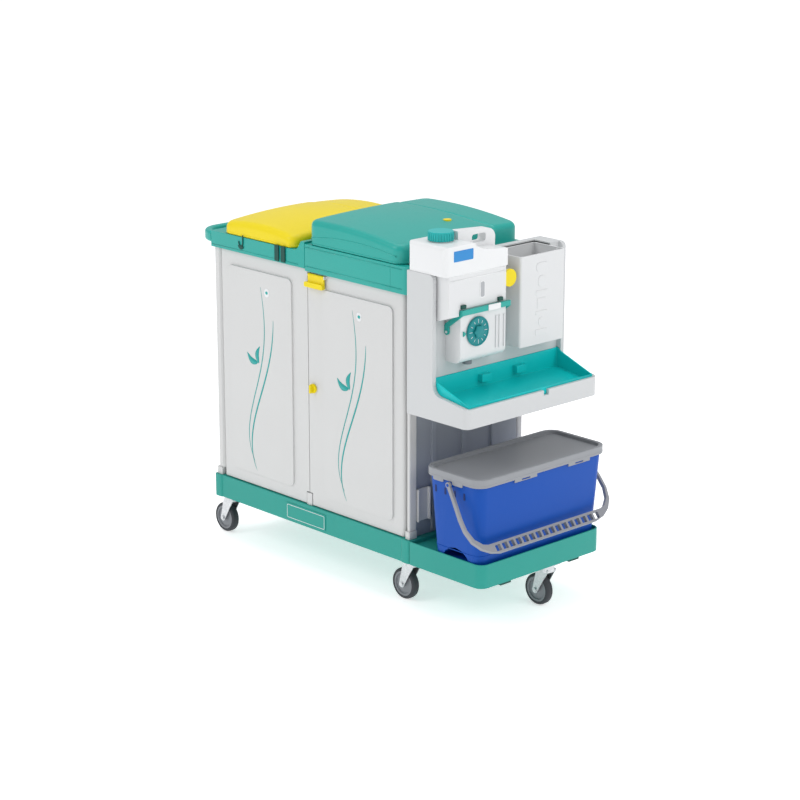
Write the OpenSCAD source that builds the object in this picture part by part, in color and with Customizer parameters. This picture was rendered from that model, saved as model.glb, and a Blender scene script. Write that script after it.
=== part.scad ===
// Housekeeping cart: a two-door cabinet on five casters, with a push handle at one end and a
// dosing console over a bucket platform at the other.
// Inside the modules X = 0 is the free edge of the right door's hinge side, Y = 0 the middle of
// the cart, Z = 0 the floor. in_frame() moves everything so that the origin is the middle of
// the base of the whole cart. +X is the bucket end, -Y the door side.

/* [Base] */
// Length of the base under the cabinet, left of the door edge
base_left = 908; // [860:1:980]
// Length of the base to the right of the door edge
base_right = 35; // [30:1:50]
// Width of the base
base_w = 528; // [510:1:560]
// Height of the base's lower edge over the floor
base_z = 144; // [140:1:170]
// Height of the base band
base_h = 75; // [65:1:90]
// Wall of the base mouldings
base_wall = 5; // [4:0.5:8]
// Width of the corner blocks of the base
base_post = 40; // [30:1:60]
// How far the corner blocks stand proud of the band
post_proud = 4; // [2:0.5:8]

/* [Platform] */
// Length of the bucket platform
platform_len = 309.6; // [290:0.1:360]
// Depth of the platform's tray below its edge
platform_depth = 12.5; // [8:0.5:30]
// Radius of the platform's outer corners
platform_r = 30; // [10:1:60]
// Width of each dark tab under the platform's end
tab_w = 44; // [20:1:80]

/* [Cabinet] */
// Width of one door with its gap
module_w = 437; // [410:1:460]
// Height of the cabinet from base to the left rim
cabinet_h = 775; // [700:1:820]
// Half the depth of the cabinet at its door face
cabinet_half = 252; // [240:1:255]
// How much lower the right rim starts than the left one
rim_step = 7; // [0:1:12]
// Side of a corner post
post_side = 30; // [24:1:40]
// Height of the feet under the corner posts
foot_h = 25; // [18:1:40]
// Thickness of a wall panel
panel_t = 8; // [6:1:12]
// Thickness of the centre partition
partition_t = 12; // [8:1:18]
// Thickness of a shelf
shelf_t = 8; // [5:1:12]
// Heights of the two shelves over the cabinet floor
shelf_1 = 210; // [150:1:300]
shelf_2 = 450; // [380:1:560]

/* [Doors] */
// Thickness of a door
door_t = 22; // [18:1:26]
// Gap round a door
door_gap = 3; // [2:0.5:5]
// How far the middle panel of a door stands proud
panel_rise = 6; // [3:0.5:8]
// Border round the raised panel, on the hinge side, free side and at the ends
border_hinge = 46; // [40:1:90]
border_free = 72; // [60:1:100]
border_end = 44; // [30:1:80]
// Radius of a door's hinge pin
hinge_pin_r = 4; // [3:0.5:5]
// Length of a hinge pin inside the door
hinge_pin_len = 12; // [8:1:20]

/* [Rims and lids] */
// Height of the left rim
rim_left_h = 52; // [45:1:70]
// Height of the right rim
rim_right_h = 85; // [75:1:100]
// Width of the rim's top
rim_w = 36; // [30:1:44]
// Reach of the push handle past the cabinet
handle_reach = 83; // [70:1:110]
// Width and height of the push handle's bar
handle_w = 26; // [20:1:34]
handle_h = 36; // [26:1:44]
// Inside radius of the push handle's corners
handle_r = 57; // [30:1:60]
// Wall of the lids
lid_wall = 4; // [3:0.5:6]
// Height of the yellow lid at its side edges
lid_left_h = 46; // [36:1:60]
// Height of the green lid
lid_right_h = 76; // [64:1:90]
// Depth of the tub under the green lid
tub_depth = 110; // [60:1:140]
// Radius of a lid's hinge pin
lid_pin_r = 3; // [2:0.5:4]

/* [Console] */
// Distance of the console from the door edge
console_x = 46; // [44:1:60]
// Length of the console from its back to its lip
console_len = 254; // [240:1:280]
// Depth of the console's hollow body behind the dosing unit and the holder
body_depth = 92; // [60:1:94]
// Width of the console
console_w = 568; // [560:1:600]
// Height of the console's top over the right rim
console_rise = 20.5; // [10:0.5:40]
// Height of the console's lip
lip_h = 59; // [50:1:70]
// Height of the console's back
console_h = 459; // [440:1:480]
// Width of the cheeks at the top
cheek_len = 109; // [90:1:120]
// Thickness of the cheeks
cheek_t = 14; // [8:1:20]
// Wall of the tray, the holder and the console's back
tray_wall = 3.5; // [2.5:0.5:5]
// Width of the dosing unit
dosing_w = 237; // [230:1:245]
// Depth of the dosing unit
dosing_len = 65; // [50:1:70]
// Radius of the dial
dial_r = 45; // [35:1:50]
// Radius of the spindles of the dial, the valve and the lever
spindle_r = 4; // [3:0.5:5]
// Width of the tool holder
holder_w = 194; // [150:1:200]
// Height of the tool holder
holder_h = 280; // [240:1:290]
// How far the holder reaches back into the console's body
holder_sunk = 68; // [0:1:80]
// Depth of the tray's floor under its back edge, and under its front edge
tray_deep_back = 60; // [40:1:80]
tray_deep_front = 20; // [12:1:40]

/* [Tank] */
// Width and height of the tank
tank_w = 270; // [250:1:272]
tank_h = 88; // [75:1:110]
// Drop of the tank's low shoulder, and its further fall to the end
tank_step = 25; // [18:1:40]
tank_fall = 13; // [4:1:20]
// Radius and height of the screw cap
cap_r = 39; // [36:1:42]
cap_h = 27; // [25:1:40]

/* [Bucket] */
// Length of the bucket's lid along X and its width along Y
bucket_lid_len = 240; // [230:1:244]
bucket_lid_w = 562; // [520:1:564]
// Height of the bucket with its lid
bucket_h = 279; // [240:1:290]
// Taper of the bucket on each side
bucket_taper = 16; // [8:1:24]
// Wall of the bucket
bucket_wall = 3.5; // [2.5:0.5:5]
// Height of the lid's skirt
lid_skirt = 25; // [18:1:32]
// Radius of the bail's pivot
bail_pin_r = 5; // [4:0.5:6]
// Reach of the bail from its pivot to the outside of the grip
bail_reach = 242; // [230:1:255]
// Width of the lattice grip
grip_w = 34; // [26:1:40]
// Thickness of the bail
bail_t = 12; // [8:1:16]
// Half the bail's greatest width
bail_half = 310; // [305:1:320]
// Angle at which the bail hangs below the level
bail_angle = 53; // [48:1:58]

/* [Casters] */
// Wheel radius
wheel_r = 50; // [46:1:52]
// Tyre width
tyre_w = 28; // [22:1:30]
// Radius of the wheel's hub
hub_r = 40; // [30:1:41]
// Trail of the wheel behind its swivel
trail = 33; // [28:1:40]
// Radius of the kingpin
kingpin_r = 5; // [4:0.5:6]
// Radius of the wheel's axle
axle_r = 4; // [3:0.5:5]
// Distance of the left casters from the base's left end
caster_in = 30; // [26:1:60]
// Distance of the corner casters from the middle line
caster_y = 205; // [190:1:215]
// Place of the single end caster along the platform and across it
end_caster_in = 35; // [30:1:60]
end_caster_y = 60; // [0:1:80]

/* [Hidden] */
running = 0.05;    // radial clearance of a turning fit
seat = 0.3;        // gap under a piece that lifts off
stop_gap = 0.5;    // gap between lids, clips and what they close on

teal = "#3fae9a";
warm_grey = "#d9d8d6";
white = "#efefef";
panel_grey = "#8f949c";
yellow = "#f2dc1e";
dark_green = "#0e4f45";

// Levels
base_top = base_z + base_h;
deck_z = base_top - platform_depth;
left_top = base_top + cabinet_h;
right_top = left_top - rim_step;
rim_left_top = left_top + rim_left_h;
rim_right_top = right_top + rim_right_h;
console_top = rim_right_top + console_rise;
console_z = console_top - console_h;
lip_top = console_z + lip_h;

// Places along X
base_half = base_w / 2;
left_end = -base_left + 9;
post_in = left_end + post_side + 0.5;
platform_start = base_right + 0.4;
platform_end = platform_start + platform_len;
right_panel_x = 8;
strip_x = 14;
back_post_x = -2;
strip_end = 25;
rim_end = base_right - 3;
cabinet_back = cabinet_half;
tip = left_end - handle_reach;

// Doors
door_back = -cabinet_half + door_t;
hinge_r = door_t / 2;
hinge_y = -cabinet_half + hinge_r;
left_hinge_x = post_in + 2.5 + hinge_r;
right_hinge_x = -hinge_r;
door_z0 = base_top + door_gap;
stop_w = 24;
stop_h = 40;

// Console
console_half = console_w / 2;
console_front = console_x + console_len;
console_back = console_x + body_depth;
cheek_front = console_x + cheek_len;
well_z = console_z + 7;
dosing_y = -console_half + cheek_t + 6;
dosing_front = console_back + dosing_len;
dial_box_y = dosing_y + 50;
dial_box_w = 190;
dial_box_front = dosing_front - 3;
dial_box_z = console_z + 167;
dial_z = dial_box_z + 91;
dial_y = dial_box_y + 69;
dial_face = dial_box_front + 6;
housing_top = console_top - 20;
housing_z = housing_top - 124;
lever_z = dial_z;
lever_x = console_back + 9.5;
lever_t = 5.5;
bar_z = dial_z + dial_r + 14;
bar_h = 16;
dial_box_top = bar_z + bar_h;
valve_x = dosing_front - 20;
valve_y = dosing_y + dosing_w + 29.5;
valve_z = housing_top - 45;
valve_r = 27;
holder_y = console_half - 51 - holder_w;
holder_z = console_top - 9 - holder_h;
holder_front = console_x + 154;
holder_back = console_back - holder_sunk;
body_wall = 4;
outlet_x = console_back + 22;
tray_top_front = lip_top + 5;
tray_top_back = lip_top + 65;
tray_floor_back = tray_top_back - tray_deep_back;
tray_floor_front = tray_top_front - tray_deep_front;

// Tank
tank_y = -console_half + 2;
tank_x = console_x + 2;
tank_front = dosing_front + 2;
tank_wall = 3;
tank_z = housing_top + seat;
tank_top = tank_z + tank_h;
high_w = 126;
cap_x = console_x + 71;
cap_y = tank_y + 67;
neck_r = 33;
neck_h = 24;
tank_handle_x = console_x + 82;
tank_handle_t = 34;

// Bucket
bucket_end = platform_end + 7;
bucket_x = bucket_end - bucket_lid_len;
bucket_half = bucket_lid_w / 2;
bucket_z = deck_z + seat;
bucket_top = bucket_z + bucket_h;
bucket_mid = bucket_end - bucket_lid_len / 2;
flange_top = bucket_top - 15;
pivot_x = bucket_mid - 4;
pivot_z = bucket_top - lid_skirt - 10;
lug_r = 9;
lug_y = bucket_half + 1.5;
lug_w = 8.5;

x_low = tip;
x_high = pivot_x + bail_reach * cos(bail_angle) + bail_t / 2 * sin(bail_angle);

// Caster swivel centres: left front, left back, right front, right back, end
casters = [[-base_left + caster_in - 7, -caster_y], [-base_left + caster_in - 7, caster_y],
    [-8, -caster_y], [-8, caster_y], [platform_end - end_caster_in, end_caster_y]];
plate_side = 62;
plate_t = 4;
cup_r = 23;
cup_top = base_z - plate_t - 1;
cup_z = cup_top - 22;
fork_t = 3;
fork_in = tyre_w / 2 + 2;

module in_frame() translate([-(x_low + x_high) / 2, 0, 0]) children();

// An arc's points about a centre
function arc(x, y, r, a, b, n = 6) =
    [for (i = [0:n]) [x + r * cos(a + (b - a) * i / n), y + r * sin(a + (b - a) * i / n)]];

// A rectangle's outline with its corners rounded; the two left and the two right radii
function outline(x0, y0, x1, y1, rl, rr) = concat(
    arc(x1 - rr, y1 - rr, rr, 0, 90), arc(x0 + rl, y1 - rl, rl, 90, 180),
    arc(x0 + rl, y0 + rl, rl, 180, 270), arc(x1 - rr, y0 + rr, rr, 270, 360));

module block(low, high) translate(low) cube(high - low);

// An upright block with rounded corners
module slab(low, high, rl, rr)
    translate([0, 0, low[2]]) linear_extrude(high[2] - low[2])
        polygon(outline(low[0], low[1], high[0], high[1], rl, rr));

// An outline in X and Z carried along Y
module side_plate(points, y0, y1)
    translate([0, y1, 0]) rotate([90, 0, 0]) linear_extrude(y1 - y0) polygon(points);

// An outline in Y and Z carried along X
module end_plate(points, x0, x1)
    translate([x0, 0, 0]) rotate([90, 0, 90]) linear_extrude(x1 - x0) polygon(points);

module rod_x(r, x0, x1, y, z) translate([x0, y, z]) rotate([0, 90, 0]) cylinder(r = r, h = x1 - x0, $fn = 48);
module rod_y(r, y0, y1, x, z) translate([x, y0, z]) rotate([-90, 0, 0]) cylinder(r = r, h = y1 - y0, $fn = 48);
module rod_z(r, z0, z1, x, y) translate([x, y, z0]) cylinder(r = r, h = z1 - z0, $fn = 48);

module both_sides() {
    children();
    mirror([0, 1, 0]) children();
}

// ---------------------------------------------------------------- base
module caster_boss(at, wall_side)
    block([max(at[0] - 36, wall_side[0]), at[1] - 36, base_z],
          [min(at[0] + 36, wall_side[1]), at[1] + 36, base_top - base_wall]);

module base_frame() color(teal) in_frame() {
    band = base_half - post_proud;
    difference() {
        union() {
            slab([-base_left + post_proud, -band, base_z], [base_right, band, base_top], 14, 4);
            for (x = [-base_left, base_right - base_post])
                for (y = [-base_half, base_half - base_post])
                    slab([x, y, base_z], [x + base_post, y + base_post, base_top], 10, 10);
        }
        block([-base_left + base_wall + post_proud, -band + base_wall, base_z - 1],
              [base_right - base_wall, band - base_wall, base_top - base_wall]);
    }
    for (i = [0:3])
        caster_boss(casters[i], [-base_left + base_wall, base_right - base_wall]);
    // ribs that stiffen the deck
    for (y = [-90, 90])
        block([-base_left + base_wall + post_proud, y - 2, base_z + 30],
              [base_right - base_wall, y + 2, base_top - base_wall]);
}

module platform() color(teal) in_frame() {
    band = base_half;
    difference() {
        slab([platform_start, -band, base_z], [platform_end, band, base_top], 4, platform_r);
        slab([platform_start + base_wall, -band + base_wall, deck_z],
             [platform_end - base_wall, band - base_wall, base_top + 1], 4, platform_r - base_wall);
        slab([platform_start + base_wall, -band + base_wall, base_z - 1],
             [platform_end - base_wall, band - base_wall, deck_z - base_wall], 4, platform_r - base_wall);
    }
    at = casters[4];
    block([at[0] - 36, at[1] - 36, base_z],
          [min(at[0] + 36, platform_end - base_wall), at[1] + 36, deck_z - base_wall]);
}

module platform_tabs() color(dark_green) in_frame()
    for (y = [-157, 144])
        block([platform_end - 14, y - tab_w / 2, base_z - 6], [platform_end - 1, y + tab_w / 2, base_z]);

module base_badge() color(teal) in_frame()
    side_plate(outline(-544, base_z + 7, -353, base_top - 13, 4, 4),
               -base_half + post_proud - 2, -base_half + post_proud);

// Feet of the corner posts, and the two blocks that the doors close against
module base_blocks() color(warm_grey) in_frame() {
    // the front ones stop short of the doors, which swing past them
    for (y = [-cabinet_half - 4, cabinet_back - post_side])
        slab([left_end - 4, y, base_top], [post_in - 7, y + post_side + 4, base_top + foot_h], 6, 1);
    slab([strip_x - 4.5, -cabinet_half - 4, base_top], [strip_end + 3, -cabinet_half + post_side, base_top + foot_h], 1, 4);
    slab([back_post_x, cabinet_back - post_side, base_top], [strip_end - 6, cabinet_back + 4, base_top + foot_h], 1, 4);
    block([-module_w - stop_w / 2, -cabinet_half - 2, base_top],
          [-module_w + stop_w / 2, door_back - 2, base_top + stop_h]);
}

module corner_posts() color(warm_grey) in_frame() {
    z0 = base_top + foot_h;
    // left front post, with its inner edge cut back so that the door can swing past it
    translate([0, 0, z0]) linear_extrude(left_top - z0) polygon(concat(
        [[post_in, -cabinet_half + 7], [post_in, -cabinet_half + post_side],
         [left_end, -cabinet_half + post_side]],
        arc(left_end + 10, -cabinet_half + 10, 10, 180, 270), [[post_in - 6, -cabinet_half]]));
    slab([left_end, cabinet_back - post_side, z0], [post_in, cabinet_back, left_top], 10, 2);
    // right front post: a set-back web and an outer strip
    difference() {
        slab([3, -cabinet_half, z0], [strip_end, -cabinet_half + post_side, right_top], 1, 4);
        block([0, -cabinet_half - 1, z0 - 1], [strip_x, -cabinet_half + 22, right_top + 1]);
    }
    slab([back_post_x, cabinet_back - post_side, z0], [right_panel_x + panel_t, cabinet_back, right_top], 1, 10);
}

// ---------------------------------------------------------------- cabinet
module end_panel_left() color(warm_grey) in_frame()
    block([left_end + 1, -cabinet_half + post_side, base_top],
          [left_end + 1 + panel_t, cabinet_back - post_side, left_top]);

module end_panel_right() color(panel_grey) in_frame() {
    y0 = -cabinet_half + post_side;
    y1 = cabinet_back - post_side;
    block([right_panel_x, y0, base_top], [right_panel_x + panel_t, y1, right_top]);
    // upright ribs
    for (y = [-145, -15, 113])
        block([right_panel_x + panel_t, y - 9, base_top + 6], [right_panel_x + panel_t + 6, y + 9, right_top - 6]);
}

module panel_bracket() color(warm_grey) in_frame() {
    x = right_panel_x + panel_t;
    block([x, -220, 268], [x + 5, -166, 372]);
    block([x + 5, -220, 268], [x + 14, -214, 372]);
    block([x + 5, -172, 268], [x + 14, -166, 372]);
}

module back_panels() color(warm_grey) in_frame() {
    y = cabinet_back - 4;
    block([post_in, y - panel_t, base_top], [-module_w - 1, y, left_top]);
    block([-module_w + 1, y - panel_t, base_top], [back_post_x, y, right_top]);
}

module centre_partition() color(warm_grey) in_frame()
    difference() {
        block([-module_w - partition_t / 2, door_back + 2, base_top],
              [-module_w + partition_t / 2, cabinet_back - 4 - panel_t, right_top]);
        // slot that takes the lock's cam behind the front edge
        block([-module_w - partition_t, cam_y - stop_gap, lock_z - 32],
              [-module_w + partition_t, cam_y + cam_t + 6, lock_z + 32]);
    }

module shelves() color(warm_grey) in_frame()
    for (z = [base_top + shelf_1, base_top + shelf_2])
        block([-module_w + partition_t / 2, door_back + 16, z],
              [right_panel_x, cabinet_back - post_side, z + shelf_t]);

module hinge_pin(x, z0, z1, collar_z)
    union() {
        rod_z(hinge_pin_r, z0, z1, x, hinge_y);
        rod_z(hinge_pin_r + 4, collar_z, collar_z + door_gap - stop_gap, x, hinge_y);
    }

module door_pins() color("silver") in_frame()
    for (side = [[left_hinge_x, left_top], [right_hinge_x, right_top]]) {
        hinge_pin(side[0], base_top, door_z0 + hinge_pin_len, base_top);
        hinge_pin(side[0], side[1] - door_gap - hinge_pin_len, side[1], side[1] - door_gap + stop_gap);
    }

// ---------------------------------------------------------------- doors
cam_t = 3;
cam_y = door_back + 7.5;
lock_x = -module_w + 25;
lock_z = base_top + 392;
latch_x0 = -module_w + 12;
latch_x1 = latch_x0 + 74;
latch_y = -cabinet_half - 6;
latch_barrel = 5;
latch_pin_r = 2.5;

// A hollow-backed door: the hinge edge is a full round about the pin
module door_leaf(free_x, hinge_x, z1, toward) {
    low = min(free_x, hinge_x);
    high = max(free_x, hinge_x);
    difference() {
        union() {
            block([low, -cabinet_half, door_z0], [high, door_back, z1]);
            rod_z(hinge_r, door_z0, z1, hinge_x, hinge_y);
            side_plate(outline(min(free_x - toward * border_free, hinge_x + toward * border_hinge - toward * hinge_r),
                               base_top + border_end,
                               max(free_x - toward * border_free, hinge_x + toward * border_hinge - toward * hinge_r),
                               z1 - border_end - 2, 18, 18),
                       -cabinet_half - panel_rise, -cabinet_half);
        }
        block([low + 36, door_back - 15, door_z0 + 44], [high - 36, door_back + 1, z1 - 40]);
        for (z = [door_z0 - 1, z1 - hinge_pin_len - 1])
            rod_z(hinge_pin_r + running, z, z + hinge_pin_len + 2, hinge_x, hinge_y);
        // cut-out for the centre stop
        block([-module_w - stop_w / 2 - 3, -cabinet_half - panel_rise - 1, door_z0 - 1],
              [-module_w + stop_w / 2 + 3, door_back + 1, base_top + stop_h + 3]);
    }
}

module door_left() color(warm_grey) in_frame()
    door_leaf(-module_w - 1.5, left_hinge_x, left_top - door_gap, 1);

module door_right() color(warm_grey) in_frame()
    difference() {
        union() {
            door_leaf(-module_w + 1.5, right_hinge_x, right_top - door_gap, -1);
            // ears and pin of the latch
            for (x = [latch_x0 - 4, latch_x1 + 0.5])
                block([x, latch_y - latch_barrel, latch_z - latch_barrel],
                      [x + 3.5, -cabinet_half, latch_z + latch_barrel]);
            rod_x(latch_pin_r, latch_x0 - 4, latch_x1 + 4, latch_y, latch_z);
        }
        rod_y(spindle_r + 1 + running, -cabinet_half - 1, door_back + 1, lock_x, lock_z);
    }

latch_z = right_top - door_gap - 7;

module latch() color(yellow) in_frame()
    difference() {
        union() {
            rod_x(latch_barrel, latch_x0, latch_x1, latch_y, latch_z);
            block([latch_x0, latch_y - 4, latch_z - 36], [latch_x1, latch_y + 1, latch_z]);
            side_plate(outline(latch_x0 - 10, latch_z - 38, latch_x1 + 2, latch_z - 22, 5, 5),
                       latch_y - 12, latch_y);
        }
        rod_x(latch_pin_r + running, latch_x0 - 1, latch_x1 + 1, latch_y, latch_z);
    }

module lock_knob() color(yellow) in_frame() {
    face = -cabinet_half - seat;
    rod_y(15, face - 7, face, lock_x, lock_z);
    side_plate(outline(lock_x - 4, lock_z - 14, lock_x + 4, lock_z + 14, 4, 4), face - 18, face - 7);
    rod_y(spindle_r + 1, face, cam_y + cam_t, lock_x, lock_z);
    side_plate(outline(lock_x - 7, lock_z - 7, lock_x + 7, lock_z + 30, 5, 5), cam_y, cam_y + cam_t);
}

// ---------------------------------------------------------------- rims
// Section of the handle's bar, its outside at the given distance from the turning axis
function bar_section(outside) =
    outline(outside - handle_w, rim_left_top - 4 - handle_h, outside, rim_left_top - 4, 9, 9);

module handle_rim() color(teal) in_frame() {
    ring_right = -module_w - 0.5;
    corner = handle_r + handle_w;
    straight = base_half - corner;
    difference() {
        slab([left_end, -base_half, left_top], [ring_right, base_half, rim_left_top], 3, 2);
        slab([left_end + rim_w, -base_half + 54, left_top - 1],
             [ring_right - rim_w, base_half - 54, rim_left_top + 1], 20, 20);
    }
    // shoulder beside the right rim
    side_plate([[ring_right - 40, rim_left_top], [ring_right, rim_left_top], [ring_right, rim_left_top + 32],
                [ring_right - 16, rim_left_top + 32], [ring_right - 28, rim_left_top + 12]],
               -base_half, base_half);
    // push handle
    translate([tip, straight, 0]) rotate([90, 0, 0]) linear_extrude(2 * straight)
        polygon(outline(0, rim_left_top - 4 - handle_h, handle_w, rim_left_top - 4, 9, 9));
    both_sides() {
        translate([tip + corner, straight, 0]) rotate([0, 0, 90])
            rotate_extrude(angle = 90, $fn = 96) polygon(bar_section(corner));
        if (tip + corner < left_end)
            translate([tip + corner, 0, 0]) rotate([90, 0, 90]) linear_extrude(left_end - tip - corner)
                polygon(outline(base_half - handle_w, rim_left_top - 4 - handle_h,
                                base_half, rim_left_top - 4, 9, 9));
    }
}

// Dark clips that hold a bag's edge on the left rim, and its hook
module rim_clips() color(dark_green) in_frame() {
    y = -base_half;
    for (x = [-576, -546])
        block([x, y - 5, left_top + 4], [x + 20, y, rim_left_top + 3]);
    side_plate(arc(-744, left_top + 26, 14, 180, 350), y - 3, y);
}

module right_ring(inset) {
    slab([-module_w + 0.5, -base_half + inset, right_top],
         [rim_end - inset, base_half - inset, rim_right_top], 2, 24 - inset);
}

module corner_zone(side) {
    y0 = side > 0 ? base_half - 60 : -base_half - 1;
    block([rim_end - 80, y0, right_top - 1], [rim_end + 1, y0 + 61, rim_right_top + 1]);
}

module rim_right() color(teal) in_frame()
    difference() {
        right_ring(0);
        slab([-module_w + rim_w - 6, -base_half + rim_w, right_top - 1],
             [rim_end - rim_w, base_half - rim_w, rim_right_top + 1], 12, 12);
        // ledge for the tub's flange
        slab([-module_w + rim_w - 14, -base_half + rim_w - 8, rim_right_top - 8],
             [rim_end - rim_w + 8, base_half - rim_w + 8, rim_right_top + 1], 14, 14);
        for (side = [-1, 1])
            difference() {
                corner_zone(side);
                right_ring(3);
            }
    }

module rim_corners() color(teal) in_frame()
    for (side = [-1, 1])
        difference() {
            intersection() {
                right_ring(0);
                corner_zone(side);
            }
            right_ring(3);
        }

module top_tub() color(white) in_frame() {
    x0 = -module_w + rim_w - 6 + stop_gap;
    x1 = rim_end - rim_w - stop_gap;
    y = base_half - rim_w - stop_gap;
    top = rim_right_top - 4;
    difference() {
        union() {
            slab([x0, -y, top - tub_depth], [x1, y, top], 12, 12);
            slab([x0 - 7, -y - 7, top - 4], [x1 + 7, y + 7, top], 14, 14);
        }
        slab([x0 + tray_wall, -y + tray_wall, top - tub_depth + tray_wall],
             [x1 - tray_wall, y - tray_wall, top + 1], 10, 10);
    }
}

// ---------------------------------------------------------------- lids
hinge_line_y = base_half - 7;
knuckle_r = 6.5;
knuckle_w = 30;
lid_left = [left_end + 56, -module_w - 57];
lid_right = [-module_w + 10, -8];
lid_front = -base_half + 4;
lid_back = base_half - 15;
left_axis_z = rim_left_top + 8.5;
right_axis_z = rim_right_top + 8.5;

// A round slab under a crown: what a block and two large cylinders have in common.
// The crown is given by the place of its top in X and Y and by its two radii.
module crowned(x0, x1, z0, top, crown, inset)
    intersection() {
        slab([x0 + inset, lid_front + inset, z0], [x1 - inset, lid_back - inset, top + 10], 26 - inset, 26 - inset);
        translate([crown[0], lid_front - 10, top - inset - crown[2]]) rotate([-90, 0, 0])
            cylinder(r = crown[2], h = lid_back - lid_front + 20, $fn = 720);
        translate([x0 - 10, crown[1], top - inset - crown[3]]) rotate([0, 90, 0])
            cylinder(r = crown[3], h = x1 - x0 + 20, $fn = 1440);
    }

module knuckles(lid, axis_z)
    for (x = [lid[0] + 60, lid[1] - 60 - knuckle_w]) {
        rod_x(knuckle_r, x, x + knuckle_w, hinge_line_y, axis_z);
        block([x, lid_back - lid_wall, axis_z - knuckle_r], [x + knuckle_w, hinge_line_y, axis_z + knuckle_r]);
    }

module knuckle_bores(lid, axis_z)
    for (x = [lid[0] + 60, lid[1] - 60 - knuckle_w])
        rod_x(lid_pin_r + running, x - 1, x + knuckle_w + 1, hinge_line_y, axis_z);

module lid(lid, z0, top, crown, axis_z)
    difference() {
        union() {
            difference() {
                crowned(lid[0], lid[1], z0, top, crown, 0);
                crowned(lid[0], lid[1], z0 - 1, top, crown, lid_wall);
            }
            knuckles(lid, axis_z);
        }
        knuckle_bores(lid, axis_z);
    }

yellow_top = rim_left_top + 1 + lid_left_h + 21.5;
green_top = rim_right_top + 1 + lid_right_h + 11.5;
yellow_crown = [(lid_left[0] + lid_left[1]) / 2, 40, 950, 2500];
green_crown = [-320, 80, 2000, 6000];

module lid_yellow() color(yellow) in_frame()
    lid(lid_left, rim_left_top + 1, yellow_top, yellow_crown, left_axis_z);

module lid_green() color(teal) in_frame()
    difference() {
        lid(lid_right, rim_right_top + 1, green_top, green_crown, right_axis_z);
        button(running, green_top - 20, green_top);
    }

module button(extra, z0, z1) rod_z(13 + extra, z0, z1, -121, 45);

module lid_button() color(yellow) in_frame() button(0, green_top - 15, green_top - 6.5);

// Fixed leaves of the lid hinges, each with its pin
module lid_hinges() color("silver") in_frame()
    for (side = [[lid_left, left_axis_z, rim_left_top], [lid_right, right_axis_z, rim_right_top]])
        for (x = [side[0][0] + 60, side[0][1] - 60 - knuckle_w]) {
            block([x - 5, hinge_line_y - 5, side[2]], [x - 1, hinge_line_y + 5, side[1] + 5]);
            rod_x(lid_pin_r, x - 5, x + knuckle_w + 3, hinge_line_y, side[1]);
        }

// ---------------------------------------------------------------- console
// Outline of a cheek: the lip, the sweep up to the body and the rounded top
function cheek_outline(top) = concat([[console_x, console_z], [console_front, console_z],
        [console_front, lip_top], [cheek_front + 50, lip_top + 14]],
    arc(cheek_front + 34, lip_top + 50, 34, 260, 180),
    arc(cheek_front - 16, top - 16, 16, 0, 90), [[console_x, top]]);

// Two cheeks, a hollow body between them that is open at the bottom, and the well of the tray.
// The body is lower at the door side, where the tank stands on it.
module console_shell() color(white) in_frame() {
    inner = console_half - cheek_t;
    step_y = tank_y + tank_w + 4;
    intersection() {
        union() {
            side_plate(cheek_outline(housing_top), -console_half, -inner);
            side_plate(cheek_outline(console_top), inner, console_half);
            difference() {
                union() {
                    block([console_x, -inner, console_z], [console_back, inner, housing_top]);
                    block([console_x, step_y, console_z], [console_back, inner, console_top]);
                }
                block([console_x + body_wall, -inner, console_z - 1],
                      [console_back - body_wall, inner, housing_top - body_wall]);
                block([console_x + body_wall, step_y + body_wall, console_z - 1],
                      [console_back - body_wall, inner, console_top - body_wall]);
                // pocket of the holder
                block([holder_back, holder_y, holder_z], [console_back + 1, holder_y + holder_w, console_top + 1]);
            }
            block([console_back - 1, -inner, well_z], [console_front, inner, well_z + 5]);
            difference() {
                block([console_front - 10, -inner, console_z], [console_front, inner, lip_top]);
                // finger notch in the lip
                block([console_front - 11, 42, lip_top - 16], [console_front + 1, 64, lip_top + 1]);
            }
        }
        slab([console_x - 1, -console_half, console_z - 1], [console_front, console_half, console_top + 1], 1, 20);
    }
}

module console_brackets() color("silver") in_frame()
    for (y = [-190, 190])
        for (z = [console_z + 60, console_top - 150])
            block([right_panel_x + panel_t, y - 18, z], [console_x, y + 18, z + 36]);

module tray() color("#12a3a0") in_frame() {
    half = console_half - cheek_t - 1;
    x0 = console_back + 1;
    x1 = console_front - 10.5;
    z0 = well_z + 5;
    difference() {
        side_plate([[x0, z0], [x1, z0], [x1, tray_top_front], [cheek_front + 5, tray_top_back - 12],
                    [x0, tray_top_back]], -half, half);
        // the trough over its sloping floor, and the hollow below it
        side_plate([[x0 + tray_wall, tray_floor_back], [x1 - tray_wall, tray_floor_front],
                    [x1 - tray_wall, tray_top_back + 1], [x0 + tray_wall, tray_top_back + 1]],
                   -half + tray_wall, half - tray_wall);
        side_plate([[x0 + tray_wall, z0 - 1], [x1 - tray_wall, z0 - 1],
                    [x1 - tray_wall, tray_floor_front - tray_wall], [x0 + tray_wall, tray_floor_back - tray_wall]],
                   -half + tray_wall, half - tray_wall);
    }
    // two lugs on the back wall
    for (y = [-60, 90])
        block([x0 + tray_wall, y - 20, tray_top_back - 45], [x0 + 22, y + 20, tray_top_back - 22]);
}

module holder_box() color("#dcdcdc") in_frame() {
    y1 = holder_y + holder_w;
    difference() {
        slab([holder_back, holder_y, holder_z], [holder_front, y1, holder_z + holder_h], 2, 8);
        slab([holder_back + tray_wall, holder_y + tray_wall, holder_z + tray_wall],
             [holder_front - tray_wall, y1 - tray_wall, holder_z + holder_h + 1], 2, 6);
    }
    // guide rib on the far wall
    block([console_back + 30, y1 - tray_wall - 5, holder_z + tray_wall],
          [console_back + 33, y1 - tray_wall, holder_z + holder_h - 4]);
}

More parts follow.
